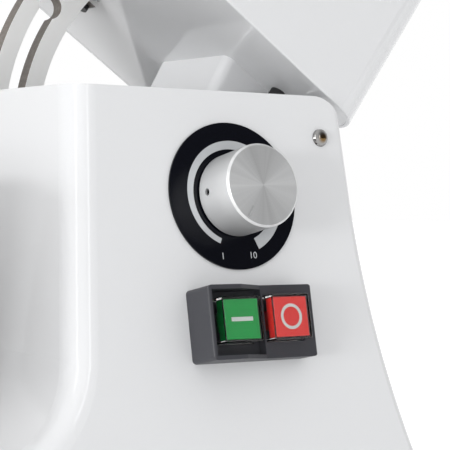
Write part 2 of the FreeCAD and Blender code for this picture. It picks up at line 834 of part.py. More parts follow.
def bowl_spindle():
    low = gearbox_top() - gearbox_height / 2
    return rod(spindle_radius, (0, -bowl_reach, low + side_gap), (0, -bowl_reach, bowl_low))


def bowl_bearing():
    top = deck_height - wall
    low = top - bearing_radius
    centre = (0, -bowl_reach)
    sleeve = rod(bearing_radius, (*centre, low), (*centre, deck_height))
    flange = rod(bearing_flange, (*centre, top - bearing_flange_thickness), (*centre, top))
    bore = rod(spindle_radius + running_gap, (*centre, 0), (*centre, column_top))
    return fuse([sleeve, flange]).cut(bore)


def bowl_gearbox():
    half = gearbox_size / 2
    case = plan_prism(rectangle((-half, -bowl_reach - half), (half, -bowl_reach + half), gearbox_round),
                      base_plate_top, gearbox_top())
    bore = rod(spindle_radius + running_gap, (0, -bowl_reach, gearbox_top() - gearbox_height / 2),
               (0, -bowl_reach, column_top))
    return case.cut(bore)


def bowl_motor():
    start = -bowl_reach + gearbox_size / 2
    height = base_plate_top + max(gearbox_height / 2, bowl_motor_radius)
    can = rod(bowl_motor_radius, (0, start, height), (0, start + bowl_motor_length, height))
    rims = [edge for edge in can.Edges if edge.Closed]
    return can.makeChamfer(motor_chamfer, rims)


# Electronics in the foot of the column

def board_corner_places():
    x = board_size[0] / 2 - standoff_inset
    y = board_size[1] / 2 - standoff_inset
    return [(i * x, board_behind + j * y) for i in (-1, 1) for j in (-1, 1)]


def board_low():
    return base_plate_top + board_lift


def speed_board():
    half = (board_size[0] / 2, board_size[1] / 2)
    low = board_low()
    return box((-half[0], board_behind - half[1], low),
               (half[0], board_behind + half[1], low + board_size[2]))


def board_standoffs():
    return group([rod(standoff_radius, (x, y, base_plate_top), (x, y, board_low()))
                  for x, y in board_corner_places()])


def board_capacitors():
    low = board_low() + board_size[2]
    side = board_size[0] / 4
    return group([rod(capacitor_radius, (x, board_behind, low), (x, board_behind, low + capacitor_height))
                  for x in (side - capacitor_radius - fit_gap, side + capacitor_radius + fit_gap)])


def heat_sink():
    low = board_low() + board_size[2]
    x = -board_size[0] / 4
    base = box((x - sink_size[0] / 2, board_behind - sink_size[1] / 2, low),
               (x + sink_size[0] / 2, board_behind + sink_size[1] / 2, low + sink_base))
    pitch = sink_size[0] / sink_fins
    fins = [base]
    for index in range(sink_fins):
        start = x - sink_size[0] / 2 + index * pitch
        fins.append(box((start, board_behind - sink_size[1] / 2, low),
                        (start + sink_fin, board_behind + sink_size[1] / 2, low + sink_size[2])))
    return fuse(fins)


def head_sensor():
    top = column_top - sensor_drop
    front = -front_reach + (wall + side_gap) / math.cos(math.radians(front_lean))
    return box((sensor_side - sensor_size[0] / 2, front, top - sensor_size[2]),
               (sensor_side + sensor_size[0] / 2, front + sensor_size[1], top))


# Head, drawn about the hinge with the head down

def head_block(inset, bottom):
    """The head as a solid block, drawn in by an inset and running down to a bottom level."""
    top = head_rise + head_height
    rear = head_overhang
    front = -head_reach
    half = head_half_width
    side = [((front, bottom), 0), ((rear, bottom), 0), ((rear, top), head_top_round),
            ((head_slope_run - head_reach, top), head_slope_round),
            ((front, head_rise + head_nose_height), head_nose_round)]
    plan = [((-half, front), head_nose_round), ((half, front), head_nose_round),
            ((half, rear), head_back_round), ((-half, rear), head_back_round)]
    cross = [((-half, bottom), 0), ((half, bottom), 0),
             ((half, top), head_top_round), ((-half, top), head_top_round)]
    block = side_prism(inset_corners(side, inset), 2 * half)
    block = block.common(plan_prism(inset_corners(plan, inset), bottom - overrun, top + overrun))
    return block.common(front_prism(inset_corners(cross, inset), front - overrun, rear + overrun))


def head_shell():
    inner_bottom = head_rise - 2 * wall
    outside = head_block(0, head_rise)
    rim = [edge for edge in outside.Edges if edge.BoundBox.ZMax < head_rise + same]
    outside = outside.makeFillet(head_rim_round, rim)
    return raised(outside.cut(head_block(wall, inner_bottom)))


def neck_screw_places():
    side = screw_head_radius + screw_radius
    return [(x, y) for x in (-neck_left + side, neck_right - side)
            for y in (neck_back - side, -neck_front + side)]


def quadrant_screw_places():
    x = quadrant_face - quadrant_thickness - quadrant_foot_width / 2
    return [(x, -quadrant_inner + screw_head_radius + screw_radius), (x, -quadrant_outer + screw_head_radius)]


def guard_stud_places():
    reaches = (bowl_reach - guard_stud_rear, bowl_reach + guard_stud_front)
    return [(i * guard_stud_bar, -reach) for i in (-1, 1) for reach in reaches]


def head_underplate():
    inset = wall + plate_gap
    half = head_half_width
    plan = [((-half, -head_reach), head_nose_round), ((half, -head_reach), head_nose_round),
            ((half, head_overhang), head_back_round), ((-half, head_overhang), head_back_round)]
    plate = plan_prism(inset_corners(plan, inset), underplate_low, underplate_top)
    places = neck_screw_places() + quadrant_screw_places() + guard_stud_places()
    cuts = [screw_hole((x, y, 0), (0, 0, 1), head_height) for x, y in places]
    openings = ((0, -spiral_reach, spiral_shaft_radius + 2 * bush_wall),
                (0, -bowl_reach, breaker_radius + screw_gap),
                (grommet_side, -grommet_reach, grommet_radius - grommet_wall + screw_gap))
    for x, y, radius in openings:
        cuts.append(rod(radius, (x, y, 0), (x, y, head_height)))
    return raised(plate.cut(cuts))


def hinge_neck():
    low = -neck_boss_radius / 2
    corners = [((neck_back, low), 0), ((neck_back, underplate_low), 0), ((-neck_front, underplate_low), 0),
               ((-neck_front + neck_front_draft, low), neck_round)]
    face = outline_face(corners, lambda p: Vector(-neck_left, p.x, p.y))
    block = face.extrude(Vector(neck_left + neck_right, 0, 0))
    front_edges = [edge for edge in block.Edges
                   if edge.BoundBox.YMax < -neck_front + neck_front_draft + neck_round / 2
                   and edge.BoundBox.ZLength > neck_boss_radius]
    block = block.makeFillet(neck_round, front_edges)
    boss = rod(neck_boss_radius, (-neck_left, 0, 0), (neck_right, 0, 0))
    neck = fuse([block, boss])
    cuts = [rod(pin_radius + bush_wall / 2, (-neck_left, 0, 0), (neck_right, 0, 0)),
            rod(bush_radius + fit_gap, (-neck_left, 0, 0), (-neck_left + bush_length, 0, 0)),
            rod(bush_radius + fit_gap, (neck_right - bush_length, 0, 0), (neck_right, 0, 0))]
    for x, y in neck_screw_places():
        cuts.append(screw_hole((x, y, underplate_top), (0, 0, -1), neck_screw_length()))
    return raised(neck.cut(cuts))


def neck_screw_length():
    return underplate_top - neck_boss_radius


def neck_bushes():
    return raised(group([
        tube(bush_radius, pin_radius + running_gap, (-neck_left, 0, 0), (-neck_left + bush_length, 0, 0)),
        tube(bush_radius, pin_radius + running_gap, (neck_right - bush_length, 0, 0), (neck_right, 0, 0))]))


def neck_screws():
    length = neck_screw_length() - side_gap
    return raised(group([screw((x, y, underplate_top), (0, 0, -1), length) for x, y in neck_screw_places()]))


def swept(radius, angle):
    """A point of the quadrant, at an angle above the line that runs forwards from the hinge."""
    turn = math.radians(angle)
    back = quadrant_face - quadrant_thickness
    return Vector(back, -radius * math.cos(turn), radius * math.sin(turn))


def swept_arc(radius, start, end):
    middle = (start + end) / 2
    return Part.Arc(swept(radius, start), swept(radius, middle), swept(radius, end)).toShape()


def tilt_quadrant():
    outer_top = math.degrees(math.asin(underplate_low / quadrant_outer))
    inner_top = math.degrees(math.asin(underplate_low / quadrant_inner))
    middle = (quadrant_inner + quadrant_outer) / 2
    end_radius = (quadrant_outer - quadrant_inner) / 2
    tail = swept(middle, -tilt) + (swept(middle, -tilt - 90) - swept(0, 0)).normalize() * end_radius
    tail.x = quadrant_face - quadrant_thickness
    outline = Part.Wire([
        swept_arc(quadrant_outer, outer_top, -tilt),
        Part.Arc(swept(quadrant_outer, -tilt), tail, swept(quadrant_inner, -tilt)).toShape(),
        swept_arc(quadrant_inner, -tilt, inner_top),
        Part.makeLine(swept(quadrant_inner, inner_top), swept(quadrant_outer, outer_top))])
    depth = Vector(quadrant_thickness, 0, 0)
    arm = Part.Face(outline).extrude(depth)
    near = lock_reach - slot_half
    far = lock_reach + slot_half
    slot = Part.Face(Part.Wire([
        swept_arc(far, 0, -tilt), Part.makeLine(swept(far, -tilt), swept(near, -tilt)),
        swept_arc(near, -tilt, 0), Part.makeLine(swept(near, 0), swept(far, 0))])).extrude(depth)
    keyholes = [Part.makeCylinder(keyhole_radius, quadrant_thickness, swept(lock_reach, angle), depth)
                for angle in (0, -tilt)]
    back = quadrant_face - quadrant_thickness
    foot_low = underplate_low - quadrant_foot_thickness
    foot = box((back - quadrant_foot_width, -quadrant_outer - side_gap, foot_low),
               (back + quadrant_thickness / 2, -quadrant_inner + 2 * screw_head_radius + screw_radius,
                underplate_low))
    foot_end = box((back, -quadrant_inner + screw_radius, foot_low),
                   (quadrant_face, 0, underplate_low))
    holes = [screw_hole((x, y, 0), (0, 0, 1), head_rise + wall) for x, y in quadrant_screw_places()]
    return raised(fuse([arm.cut([slot] + keyholes), foot.cut(foot_end)]).cut(holes))


def quadrant_screws():
    seat = underplate_low - quadrant_foot_thickness
    length = quadrant_foot_thickness + underplate_thickness - side_gap
    return raised(group([screw((x, y, seat), (0, 0, 1), length) for x, y in quadrant_screw_places()]))


def cable_grommet():
    centre = (grommet_side, -grommet_reach)
    low = underplate_low - grommet_drop
    collar = rod(grommet_radius, (*centre, low), (*centre, underplate_low))
    neck = rod(grommet_radius - grommet_wall, (*centre, underplate_low),
               (*centre, underplate_top + grommet_wall))
    bore = rod(grommet_radius - 2 * grommet_wall, (*centre, low), (*centre, underplate_top + 2 * grommet_wall))
    return raised(fuse([collar, neck]).cut(bore))


def sensor_magnet():
    y = -front_reach + wall + sensor_size[1] / 2
    return raised(rod(magnet_radius, (sensor_side, y, underplate_low - magnet_thickness),
                      (sensor_side, y, underplate_low)))


# Spiral drive in the head

def head_motor():
    y = -head_motor_reach
    top = underplate_top + head_motor_height
    can = rod(head_motor_radius, (0, y, underplate_top), (0, y, top))
    rims = [edge for edge in can.Edges if edge.Closed and edge.BoundBox.ZMin > underplate_top]
    can = can.makeChamfer(motor_chamfer, rims)
    bore = rod(motor_shaft_radius + running_gap, (0, y, top - motor_shaft_depth), (0, y, 2 * top))
    return raised(can.cut(bore))


def motor_shaft():
    y = -head_motor_reach
    top = underplate_top + head_motor_height
    return raised(rod(motor_shaft_radius, (0, y, top - motor_shaft_depth + side_gap),
                      (0, y, pulley_low + pulley_width)))


def pulley(radius, bore, reach):
    top = pulley_low + pulley_width
    return raised(tube(radius, bore + fit_gap, (0, -reach, pulley_low), (0, -reach, top)))


def motor_pulley():
    return pulley(motor_pulley_radius, motor_shaft_radius, head_motor_reach)


def spiral_pulley():
    return pulley(spiral_pulley_radius, spiral_shaft_radius, spiral_reach)


def belt_loop(extra):
    """The belt's run round both pulleys, standing off their rims by extra."""
    distance = spiral_reach - head_motor_reach
    lean = math.acos((spiral_pulley_radius - motor_pulley_radius) / distance)
    low = pulley_low + side_gap

    def rim(reach, radius, angle):
        return Vector((radius + extra) * math.sin(angle), -reach - (radius + extra) * math.cos(angle), low)

    spiral = (spiral_reach, spiral_pulley_radius)
    motor = (head_motor_reach, motor_pulley_radius)
    turn = math.pi - lean
    wire = Part.Wire([
        Part.Arc(rim(*spiral, turn), rim(*spiral, 0), rim(*spiral, -turn)).toShape(),
        Part.makeLine(rim(*spiral, -turn), rim(*motor, -turn)),
        Part.Arc(rim(*motor, -turn), rim(*motor, math.pi), rim(*motor, turn)).toShape(),
        Part.makeLine(rim(*motor, turn), rim(*spiral, turn))])
    return Part.Face(wire).extrude(Vector(0, 0, pulley_width - 2 * side_gap))


def drive_belt():
    return raised(belt_loop(side_gap + belt_thickness).cut(belt_loop(side_gap)))


def spiral_housing():
    centre = (0, -spiral_reach)
    top = underplate_top + spiral_housing_height
    case = rod(spiral_housing_radius, (*centre, underplate_top), (*centre, top))
    seat = ball_bearing_radius + fit_gap
    cuts = [rod(spiral_shaft_radius + 2 * bush_wall, (*centre, 0), (*centre, 2 * top)),
            rod(seat, (*centre, top - ball_bearing_width), (*centre, top)),
            rod(seat, (*centre, underplate_top), (*centre, underplate_top + ball_bearing_width))]
    return raised(case.cut(cuts))


def spiral_bearings():
    centre = (0, -spiral_reach)
    top = underplate_top + spiral_housing_height
    lows = (underplate_top, top - ball_bearing_width)
    return raised(group([tube(ball_bearing_radius, spiral_shaft_radius + running_gap, (*centre, low),
                              (*centre, low + ball_bearing_width)) for low in lows]))


def spiral_shaft():
    centre = (0, -spiral_reach)
    return raised(rod(spiral_shaft_radius, (*centre, spiral_top), (*centre, pulley_low + pulley_width)))


def spiral_hook():
    hub_radius = spiral_shaft_radius + 2 * bush_wall
    centre = Vector(0, -spiral_reach, spiral_top)
    hub = rod(hub_radius, (0, -spiral_reach, spiral_top - spiral_wire),
              (0, -spiral_reach, spiral_top + spiral_wire))
    hub = hub.cut(rod(spiral_shaft_radius + fit_gap, centre, (0, -spiral_reach, head_rise)))
    start = centre + Vector(spiral_radius, 0, 0)
    arm = rod(spiral_wire, centre + Vector(spiral_shaft_radius + bush_wall, 0, 0), start)
    helix = Part.makeHelix(spiral_pitch, spiral_depth, spiral_radius)
    helix.rotate(Vector(0, 0, 0), Vector(1, 0, 0), 180)
    helix.translate(centre)
    path = Part.Wire(helix.Edges)
    first = helix.Edges[0]
    tangent = first.tangentAt(first.FirstParameter)
    section = Part.Wire([Part.makeCircle(spiral_wire, start, tangent)])
    coil = path.makePipeShell([section], True, True)
    last = helix.Edges[-1]
    tip = last.valueAt(last.LastParameter)
    elbow = Part.makeSphere(spiral_wire + hook_weld, start)
    end = Part.makeSphere(spiral_wire - hook_weld / 4, tip)
    return raised(fuse([hub, arm, elbow, coil, end]))


def breaker_bar():
    centre = (0, -bowl_reach)
    bar = rod(breaker_radius, (*centre, -breaker_depth), (*centre, underplate_top + pulley_width))
    tip = Part.makeSphere(breaker_radius, Vector(*centre, -breaker_depth))
    flange = rod(breaker_flange, (*centre, underplate_low - breaker_flange_thickness),
                 (*centre, underplate_low))
    return raised(fuse([bar, tip, flange]))


def breaker_nut():
    radius = breaker_nut_radius
    hexagon = [((radius * math.cos(math.radians(60 * step)),
                 -bowl_reach + radius * math.sin(math.radians(60 * step))), 0) for step in range(6)]
    nut = plan_prism(hexagon, underplate_top, underplate_top + pulley_width / 2)
    return raised(nut.cut(rod(breaker_radius + fit_gap, (0, -bowl_reach, 0), (0, -bowl_reach, head_height))))


def bowl_guard():
    height = guard_height
    pieces = [Part.makeTorus(guard_radius, guard_wire, Vector(0, -bowl_reach, height), Vector(0, 0, 1))]
    for step in range(1, guard_bars_each_side + 1):
        bar = step * guard_bar_pitch
        reach = math.sqrt(guard_radius ** 2 - bar ** 2)
        for x in (-bar, bar):
            pieces.append(rod(guard_bar_wire, (x, -bowl_reach - reach, height),
                              (x, -bowl_reach + reach, height)))
    for x, y in guard_stud_places():
        stud = rod(guard_stud_radius, (x, y, height), (x, y, underplate_low))
        hole = screw_hole((x, y, underplate_low), (0, 0, -1), screw_head_radius)
        pieces.append(stud.cut(hole))
    return raised(fuse(pieces))


def guard_screws():
    length = underplate_thickness + screw_head_radius - side_gap
    return raised(group([screw((x, y, underplate_top), (0, 0, -1), length) for x, y in guard_stud_places()]))


NODES = {
    "body_shell": body_shell,
    "base_plate": base_plate,
    "rubber_feet": rubber_feet,
    "foot_screws": foot_screws,
    "rear_cover": rear_cover,
    "rear_cover_screws": rear_cover_screws,
    "cord_gland": cord_gland,
    "gland_nut": gland_nut,
    "hinge_pin": hinge_pin,
    "hinge_plates": hinge_plates,
    "hinge_spacers": hinge_spacers,
    "lock_bush": lock_bush,
    "lock_plunger": lock_plunger,
    "lock_knob": lock_knob,
    "dial_plate": dial_plate,
    "speed_pot": speed_pot,
    "pot_nut": pot_nut,
    "pot_shaft": pot_shaft,
    "speed_knob": speed_knob,
    "knob_set_screw": knob_set_screw,
    "switch_housing": switch_housing,
    "switch_body": switch_body,
    "start_button": lambda: push_button(-1, start_face),
    "start_cap": lambda: push_cap(-1, start_face),
    "stop_button": lambda: push_button(1, stop_face),
    "stop_cap": lambda: push_cap(1, stop_face),
    "bowl": bowl,
    "bowl_carrier": bowl_carrier,
    "bowl_spindle": bowl_spindle,
    "bowl_bearing": bowl_bearing,
    "bowl_gearbox": bowl_gearbox,
    "bowl_motor": bowl_motor,
    "speed_board": speed_board,
    "board_standoffs": board_standoffs,
    "board_capacitors": board_capacitors,
    "heat_sink": heat_sink,
    "head_sensor": head_sensor,
    "head_shell": head_shell,
    "head_underplate": head_underplate,
    "hinge_neck": hinge_neck,
    "neck_bushes": neck_bushes,
    "neck_screws": neck_screws,
    "tilt_quadrant": tilt_quadrant,
    "quadrant_screws": quadrant_screws,
    "cable_grommet": cable_grommet,
    "sensor_magnet": sensor_magnet,
    "head_motor": head_motor,
    "motor_shaft": motor_shaft,
    "motor_pulley": motor_pulley,
    "drive_belt": drive_belt,
    "spiral_housing": spiral_housing,
    "spiral_bearings": spiral_bearings,
    "spiral_shaft": spiral_shaft,
    "spiral_pulley": spiral_pulley,
    "spiral_hook": spiral_hook,
    "breaker_bar": breaker_bar,
    "breaker_nut": breaker_nut,
    "bowl_guard": bowl_guard,
    "guard_screws": guard_screws,
}


def hinge_from_centre():
    """How far the hinge lies behind the middle of the machine, its head raised."""
    front = bowl_reach + half_width(base_bottom)
    curve = head_top_round
    rear = (head_overhang - curve) * tilt_cos + (head_rise + head_height - curve) * tilt_sin + curve
    return (front - rear) / 2


def main():
    os.makedirs("parts", exist_ok=True)
    shift = Vector(0, hinge_from_centre(), 0)
    for name, make in NODES.items():
        shape = make()
        shape.translate(shift)
        shape.exportStep(os.path.join("parts", name + ".step"))


if __name__ == "__main__":
    main()
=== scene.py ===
"""Finishes, markings and studio for a tilting-head spiral dough mixer, around its CAD frame."""

import json
import math

import bpy
from bpy.props import FloatProperty, FloatVectorProperty, IntProperty, PointerProperty
from bpy.types import Operator, Panel, PropertyGroup
from mathutils import Matrix, Vector


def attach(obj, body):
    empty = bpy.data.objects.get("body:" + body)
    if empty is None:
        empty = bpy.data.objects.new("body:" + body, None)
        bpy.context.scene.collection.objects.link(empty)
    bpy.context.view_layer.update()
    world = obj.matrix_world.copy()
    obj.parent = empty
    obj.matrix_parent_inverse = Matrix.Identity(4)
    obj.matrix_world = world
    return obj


bl_info = {
    "name": "Dough mixer finishes",
    "version": (1, 0, 0),
    "blender": (4, 5, 0),
    "location": "3D View > Sidebar > Mixer",
    "description": "Dresses the CAD frame of a tilting-head spiral dough mixer",
    "category": "Object",
}

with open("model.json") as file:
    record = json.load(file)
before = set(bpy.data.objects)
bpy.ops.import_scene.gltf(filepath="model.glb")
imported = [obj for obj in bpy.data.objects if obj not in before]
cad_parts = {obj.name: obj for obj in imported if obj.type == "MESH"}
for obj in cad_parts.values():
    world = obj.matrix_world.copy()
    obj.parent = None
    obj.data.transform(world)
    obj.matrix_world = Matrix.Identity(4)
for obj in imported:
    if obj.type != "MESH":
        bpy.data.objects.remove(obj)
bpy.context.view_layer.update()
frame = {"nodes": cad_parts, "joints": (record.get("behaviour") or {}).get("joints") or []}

MM = 0.001
DEGREE = math.pi / 180
SENSOR_WIDTH = 36.0          # millimetres, as the lens's focal length is
NEAR_CLIP = 0.01
RING_SLANT = 1.7             # carries the lathe rings of a face on along the round side
HEAD_GRAIN = (700, 40, 40)   # scratches that run along the head's plates
BOWL_GRAIN = (25, 25, 900)   # scratches that run level round the bowl
FLAT_COSINE = 0.7            # a face of the quadrant that points less far sideways is a cut edge
SIDE_COSINE = 0.3            # a face of the knob that points less far outwards is its round side


# Places taken from the CAD frame

def joint(name):
    return next(entry for entry in frame["joints"] if entry["name"] == name)


def place_on_panel(origin):
    """A place on the control panel: x runs to the rear, y up the panel and z out of it."""
    normal = Vector(joint("knob_turn")["axis"]).normalized()
    rear = Vector((0, 1, 0))
    up = normal.cross(rear)
    turn = Matrix((rear, up, normal)).transposed()
    return Matrix.Translation(origin) @ turn.to_4x4()


def local_box(node, place):
    """Lowest and highest corner of a CAD node, measured in a turned place."""
    inverse = place.inverted()
    points = [inverse @ vertex.co for vertex in frame["nodes"][node].data.vertices]
    low = Vector(min(point[axis] for point in points) for axis in range(3))
    high = Vector(max(point[axis] for point in points) for axis in range(3))
    return low, high


def head_place():
    """A place on the raised head: x to the controls, y along the head to the rear, z square to it."""
    hinge = joint("head_tilt")
    tilt = hinge["range_deg"][1] * DEGREE
    return Matrix.Translation(hinge["pos_m"]) @ Matrix.Rotation(-tilt, 4, "X")


dial_place = place_on_panel(Vector(joint("knob_turn")["pos_m"]))


# Settings

def length(name, description, default):
    return FloatProperty(name=name, description=description, default=default, min=0.0,
                         subtype="DISTANCE", unit="LENGTH", precision=5)


def colour(name, description, default):
    return FloatVectorProperty(name=name, description=description, default=default, size=3,
                               min=0.0, max=1.0, subtype="COLOR")


def share(name, description, default):
    return FloatProperty(name=name, description=description, default=default, min=0.0, max=1.0,
                         subtype="FACTOR")


def angle(name, description, default):
    return FloatProperty(name=name, description=description, default=default * DEGREE,
                         subtype="ANGLE", unit="ROTATION")


def spot(name, description, default):
    return FloatVectorProperty(name=name, description=description, default=default, size=3,
                               subtype="XYZ", unit="LENGTH", precision=5)


def power(name, description, default):
    return FloatProperty(name=name, description=description, default=default, min=0.0, unit="POWER")


class MixerFinishes(PropertyGroup):
    """Colours of the mixer's finishes."""
    paint: colour("Paint", "White enamel of the body and the head", (0.79, 0.797, 0.81))
    steel: colour("Steel", "Stainless steel of the bowl, guard and hook", (0.62, 0.61, 0.60))
    zinc: colour("Zinc", "Plated screws and plates", (0.55, 0.56, 0.57))
    aluminium: colour("Aluminium", "Pulleys, bearing housing and heat sink", (0.66, 0.66, 0.66))
    quadrant: colour("Quadrant", "Satin sides of the slotted quadrant", (0.96, 0.96, 0.95))
    # Dark cut edges: partly the bare metal's own tone, partly a painted reflection of dark surroundings
    cut_edge_and_reflection: colour("Cut edge", "Dark cut edges of the quadrant", (0.10, 0.075, 0.055))
    knob: colour("Knob", "Spun aluminium of the speed knob", (0.60, 0.605, 0.61))
    # A painted reflection, the golden middle of the hinge pin's end
    pin_painted_reflection: colour("Pin core", "Golden tint in the middle of the hinge pin", (0.20, 0.13, 0.06))
    dial: colour("Dial", "Gloss black of the dial plate", (0.003, 0.0035, 0.007))
    housing: colour("Housing", "Black moulding of the switch", (0.045, 0.046, 0.055))
    start: colour("Start", "Green of the start button", (0.0, 0.40, 0.07))
    stop: colour("Stop", "Red of the stop button", (0.95, 0.045, 0.04))
    rubber: colour("Rubber", "Feet, belt and grommet", (0.022, 0.022, 0.023))
    bronze: colour("Bronze", "Hinge and lock bushes", (0.55, 0.36, 0.17))
    motor: colour("Motor", "Grey paint of motors and gearbox", (0.16, 0.17, 0.18))
    board: colour("Board", "Lacquer of the control board", (0.02, 0.13, 0.05))
    sleeve: colour("Sleeve", "Sleeves of the board's capacitors", (0.03, 0.04, 0.09))
    black_screw: colour("Black screw", "Blackened screws", (0.03, 0.03, 0.032))
    cap: colour("Cap", "Clear caps over the buttons", (0.98, 0.99, 0.985))
    dial_print: colour("Dial print", "Silver print on the dial", (0.62, 0.64, 0.66))
    button_mark: colour("Button mark", "White marks on the buttons", (0.85, 0.87, 0.86))


class MixerDial(PropertyGroup):
    """Sizes of the markings on the dial plate."""
    inner: length("Scale radius", "Inner radius of the silver scale", 20.9 * MM)
    narrow: length("Narrow end", "Width of the scale at its low end", 2.4 * MM)
    wide: length("Wide end", "Width of the scale at its high end", 5.3 * MM)
    low_end: angle("Low end", "Where the scale begins, round from the rear", 246.0)
    sweep: angle("Sweep", "How far the scale runs clockwise", 312.0)
    steps: IntProperty(name="Steps", description="Facets of a full turn of the scale", default=240)
    print_height: length("Print height", "How far the print stands off the dial", 0.06 * MM)
    figure_size: length("Figure size", "Size of the figures' letter body", 4.2 * MM)
    low_figure: spot("Low figure", "Middle of the 1, from the dial's middle", (-8.8 * MM, -27.0 * MM, 0))
    high_figure: spot("High figure", "Middle of the 10, from the dial's middle", (7.1 * MM, -26.8 * MM, 0))


class MixerSwitch(PropertyGroup):
    """Sizes of the marks on the two buttons."""
    bar_length: length("Bar length", "Length of the start mark", 11.0 * MM)
    bar_width: length("Bar width", "Width of the start mark", 1.8 * MM)
    ring_radius: length("Ring radius", "Radius of the stop mark", 4.9 * MM)
    ring_width: length("Ring width", "Width of the stop mark", 1.4 * MM)
    mark_height: length("Mark height", "How far the marks stand off their buttons", 0.12 * MM)


class MixerStage(PropertyGroup):
    """Camera, floor and light."""
    lens: FloatProperty(name="Lens", description="Focal length for a 36 mm sensor", default=126.49,
                        subtype="DISTANCE_CAMERA")
    eye: spot("Eye", "Place of the camera, from the dial's middle", (0.57884, -0.38895, 0.00265))
    heading: angle("Heading", "Camera's turn away from facing the panel", 33.648)
    pitch: angle("Pitch", "Camera's tilt above the horizon", -1.269)
    roll: angle("Roll", "Camera's turn about its own line of sight", -0.808)
    floor: colour("Floor", "Pale floor", (0.86, 0.86, 0.86))
    floor_radius: length("Floor radius", "Reach of the round floor", 12.0)
    floor_glow: share("Floor glow", "How far the floor is lifted to white where it is seen", 0.4)
    ambient: share("Ambient", "Strength of the white surroundings on the object", 0.85)
    dim_side: FloatVectorProperty(name="Dim side", description="Where the studio's unlit side lies", size=3,
                                  default=(0.76, 0.558, 0.334), subtype="DIRECTION")
    dim_level: share("Dim level", "How bright the unlit side shows in mirrors", 0.12)
    dim_start: share("Dim start", "Cosine from the unlit side at which the light begins to fall", 0.45)
    dim_end: share("Dim end", "Cosine from the unlit side at which it has fallen", 0.9)
    left_strip: spot("Left strip light", "Its place, from the dial's middle", (0.95, -1.76, 0.62))
    right_strip: spot("Right strip light", "Its place, from the dial's middle", (1.95, -0.32, 0.62))
    strip_width: length("Strip width", "Width of the two tall lights", 0.2)
    strip_height: length("Strip height", "Height of the two tall lights", 1.3)
    strip_power: power("Strip lights", "Power of each tall light", 2.4)
    front_spot: spot("Front light", "Its place, from the dial's middle", (0.98, -3.0, 0.03))
    left_spot: spot("Left light", "Its place, from the dial's middle", (-1.05, -1.78, 0.03))
    low_width: length("Low width", "Width of the front and left lights, which stand near the floor", 1.4)
    low_height: length("Low height", "Height of the front and left lights", 0.46)
    front_power: power("Front light", "Power of the front light", 34.0)
    left_power: power("Left light", "Power of the left light", 4.5)
    top_spot: spot("Top light", "Its place, from the dial's middle", (0.2, -0.5, 2.6))
    top_size: length("Top size", "Width of the overhead light", 2.6)
    top_power: power("Top light", "Power of the overhead light", 2.0)
    rear_spot: spot("Rear light", "Its place, from the dial's middle", (-1.6, 1.5, 0.9))
    rear_size: length("Rear size", "Width of the rear light", 1.4)
    rear_power: power("Rear light", "Power of the rear light", 2.0)


SETTINGS = {
    "mixer_finishes": MixerFinishes,
    "mixer_dial": MixerDial,
    "mixer_switch": MixerSwitch,
    "mixer_stage": MixerStage,
}


# Shader maths

class Value:
    """A shader socket that can stand in a sum; each sum adds its Math node."""

    def __init__(self, finish, socket):
        self.finish = finish
        self.socket = socket

    def math(self, operation, *others):
        inputs = dict(enumerate((self, *others)))
        return self.finish.node("ShaderNodeMath", {"operation": operation}, inputs).value()

    def flipped(self, operation, other):
        inputs = {0: other, 1: self}
        return self.finish.node("ShaderNodeMath", {"operation": operation}, inputs).value()

    def __add__(self, other):
        return self.math("ADD", other)

    def __sub__(self, other):
        return self.math("SUBTRACT", other)

    def __mul__(self, other):
        return self.math("MULTIPLY", other)

    def __truediv__(self, other):
        return self.math("DIVIDE", other)

    def __rsub__(self, other):
        return self.flipped("SUBTRACT", other)

    __radd__ = __add__
    __rmul__ = __mul__


class Added:
    """A node that was just added, with short ways to its outputs."""

    def __init__(self, finish, node):
        self.finish = finish
        self.node = node

    def value(self, output=0):
        return Value(self.finish, self.node.outputs[output])


class Nodes:
    """A node tree that is being put together."""

    def __init__(self, tree):
        self.tree = tree

    def feed(self, socket, value):
        if isinstance(value, Value):
            self.tree.links.new(value.socket, socket)
        elif socket.type == "RGBA" and len(value) == 3:
            socket.default_value = (*value, 1)
        else:
            socket.default_value = value

    def node(self, kind, settings=None, inputs=None):
        node = self.tree.nodes.new(kind)
        for name, value in (settings or {}).items():
            if name == "stops":
                for index, (position, tone) in enumerate(value):
                    stops = node.color_ramp.elements
                    stop = stops[index] if index < len(stops) else stops.new(position)
                    stop.position = position
                    stop.color = (tone, tone, tone, 1)
            else:
                setattr(node, name, value)
        for key, value in (inputs or {}).items():
            self.feed(node.inputs[key], value)
        return Added(self, node)

    def place(self, matrix=None, scale=(1, 1, 1)):
        """Object coordinates, seen from a turned place and multiplied by a scale."""
        here = self.node("ShaderNodeTexCoord").value("Object")
        if matrix is not None:
            moved = {"Vector": here, "Location": matrix.to_translation(), "Rotation": matrix.to_euler()}
            here = self.node("ShaderNodeMapping", {"vector_type": "TEXTURE"}, moved).value()
        return self.node("ShaderNodeMapping", {}, {"Vector": here, "Scale": scale}).value()

    def split(self, vector):
        parts = self.node("ShaderNodeSeparateXYZ", {}, {0: vector})
        return [parts.value(axis) for axis in range(3)]

    def noise(self, vector, scale, detail=2.0, roughness=0.5):
        inputs = {"Vector": vector, "Scale": scale, "Detail": detail, "Roughness": roughness}
        return self.node("ShaderNodeTexNoise", {}, inputs).value("Fac")

    def rings(self, radius, scale, detail=3.0):
        """Uneven rings: a noise that runs along one number only."""
        inputs = {"W": radius, "Scale": scale, "Detail": detail}
        return self.node("ShaderNodeTexNoise", {"noise_dimensions": "1D"}, inputs).value("Fac")

    def brushing(self, matrix, grain):
        """Long scratches; grain says how fine they are along each axis of the place."""
        return self.noise(self.place(matrix, grain), scale=1.0, detail=4.0, roughness=0.65)

    def ramp(self, value, *stops):
        """Black to white along a value; each stop is a position and its grey."""
        return self.node("ShaderNodeValToRGB", {"stops": stops}, {0: value}).value()

    def mix(self, factor, low, high):
        inputs = {"Factor": factor, 6: low, 7: high}
        return self.node("ShaderNodeMix", {"data_type": "RGBA"}, inputs).value(2)

    def bump(self, height, depth):
        return self.node("ShaderNodeBump", {}, {"Height": height, "Distance": depth}).value()


